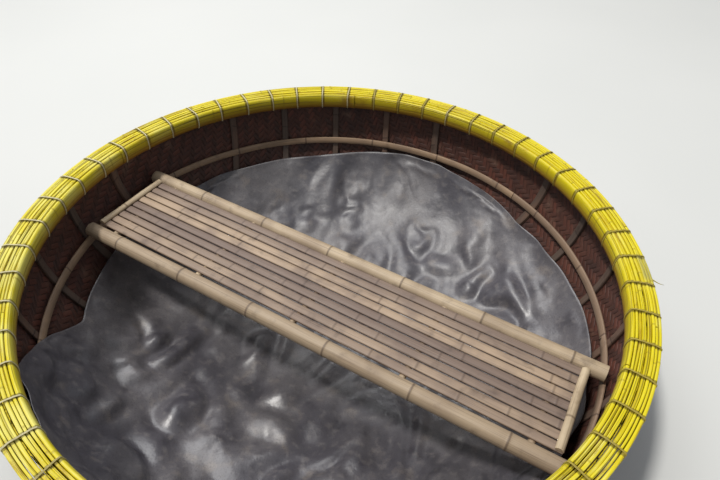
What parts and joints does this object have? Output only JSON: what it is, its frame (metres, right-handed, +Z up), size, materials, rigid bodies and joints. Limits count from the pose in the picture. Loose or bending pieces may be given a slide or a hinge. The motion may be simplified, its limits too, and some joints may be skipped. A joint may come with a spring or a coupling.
{
  "type": "round basket boat",
  "caption": "Round woven-bamboo coracle with crossed ribs, a lashed multi-lath rim, a dark floor liner and a slatted bench across it, afloat.",
  "frame": {"origin": "the boat's centre at the water's surface, with the hull's laden draught below it", "axes": "+Z up out of the water; the bench runs 30.5 degrees off +X, turned towards -Y; -Y is the side nearest the viewer"},
  "size_m": [2.001, 2.001, 0.6622],
  "materials": {
    "woven_shell": "resin-coated woven bamboo, satin",
    "painted_bamboo": "yellow paint, worn",
    "lashing_cord": "pale straw-coloured line",
    "rib_bamboo": "weathered split bamboo",
    "liner_sheet": "black rubbery sheet, slightly glossy",
    "bench_bamboo": "bare bamboo, weathered grey-brown"
  },
  "bodies": {
    "root": {"bearer_1": "bench_bamboo", "bearer_2": "bench_bamboo", "bearer_3": "bench_bamboo", "bearer_4": "bench_bamboo", "bearer_5": "bench_bamboo", "end_batten_left": "bench_bamboo", "end_batten_right": "bench_bamboo", "floor_liner": "liner_sheet", "front_rail": "bench_bamboo", "hull_shell": "woven_shell", "inner_hoop": "painted_bamboo", "outer_hoop": "painted_bamboo", "rear_rail": "bench_bamboo", "rib_across_1": "rib_bamboo", "rib_across_2": "rib_bamboo", "rib_across_3": "rib_bamboo", "rib_across_4": "rib_bamboo", "rib_across_5": "rib_bamboo", "rib_along_1": "rib_bamboo", "rib_along_2": "rib_bamboo", "rib_along_3": "rib_bamboo", "rib_along_4": "rib_bamboo", "rib_along_5": "rib_bamboo", "rim_lashings": "lashing_cord", "rim_lath_1": "painted_bamboo", "rim_lath_2": "painted_bamboo", "rim_lath_3": "painted_bamboo", "rim_lath_4": "painted_bamboo", "rim_lath_5": "painted_bamboo", "rim_lath_6": "painted_bamboo", "rising": "rib_bamboo", "slat_1": "bench_bamboo", "slat_2": "bench_bamboo", "slat_3": "bench_bamboo", "slat_4": "bench_bamboo", "slat_5": "bench_bamboo", "slat_6": "bench_bamboo", "slat_7": "bench_bamboo", "slat_8": "bench_bamboo", "slat_9": "bench_bamboo"}
  },
  "joints": []
}
